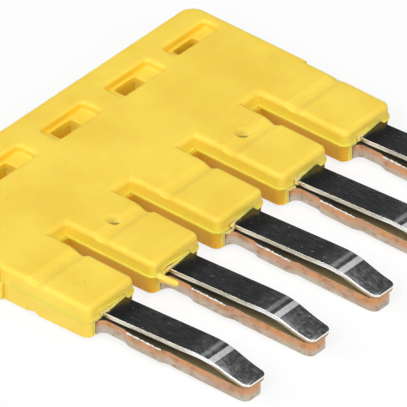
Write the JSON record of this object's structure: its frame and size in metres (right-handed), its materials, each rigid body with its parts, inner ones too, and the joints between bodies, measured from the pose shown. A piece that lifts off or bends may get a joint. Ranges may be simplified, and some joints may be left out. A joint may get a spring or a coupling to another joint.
{
  "type": "plug-in terminal block jumper",
  "caption": "Flat insulated comb jumper: yellow slotted housing around a copper comb whose tongues carry bowed spring strips, plugged into a row of rail terminal blocks to link them",
  "frame": {"origin": "middle of the whole outline, on the plane of the underside", "axes": "+X along the row of poles, +Y from the contact tips to the rear edge of the housing, +Z from the underside to the upper face"},
  "size_m": [0.0296, 0.0284, 0.0024],
  "materials": {
    "housing_plastic": "satin moulded",
    "comb_copper": "tin plated faces, bare cut edges",
    "spring_steel": "bright rolled"
  },
  "bodies": {
    "housing": {"upper_shell": "housing_plastic", "lower_shell": "housing_plastic", "copper_comb": "comb_copper"},
    "spring_1": {"contact_spring_1": "spring_steel"},
    "spring_2": {"contact_spring_2": "spring_steel"},
    "spring_3": {"contact_spring_3": "spring_steel"},
    "spring_4": {"contact_spring_4": "spring_steel"},
    "spring_5": {"contact_spring_5": "spring_steel"}
  },
  "joints": [
    {"name": "spring_1_flex", "type": "hinge", "parent": "housing", "child": "spring_1", "pos_m": [-0.0122, -0.0023, 0.00153], "axis": [1, 0, 0], "range_deg": [0, 0.6], "stiffness_Nm_per_rad": 0.5},
    {"name": "spring_2_flex", "type": "hinge", "parent": "housing", "child": "spring_2", "pos_m": [-0.0061, -0.0023, 0.00153], "axis": [1, 0, 0], "range_deg": [0, 0.6], "stiffness_Nm_per_rad": 0.5},
    {"name": "spring_3_flex", "type": "hinge", "parent": "housing", "child": "spring_3", "pos_m": [0, -0.0023, 0.00153], "axis": [1, 0, 0], "range_deg": [0, 0.6], "stiffness_Nm_per_rad": 0.5},
    {"name": "spring_4_flex", "type": "hinge", "parent": "housing", "child": "spring_4", "pos_m": [0.0061, -0.0023, 0.00153], "axis": [1, 0, 0], "range_deg": [0, 0.6], "stiffness_Nm_per_rad": 0.5},
    {"name": "spring_5_flex", "type": "hinge", "parent": "housing", "child": "spring_5", "pos_m": [0.0122, -0.0023, 0.00153], "axis": [1, 0, 0], "range_deg": [0, 0.6], "stiffness_Nm_per_rad": 0.5}
  ]
}
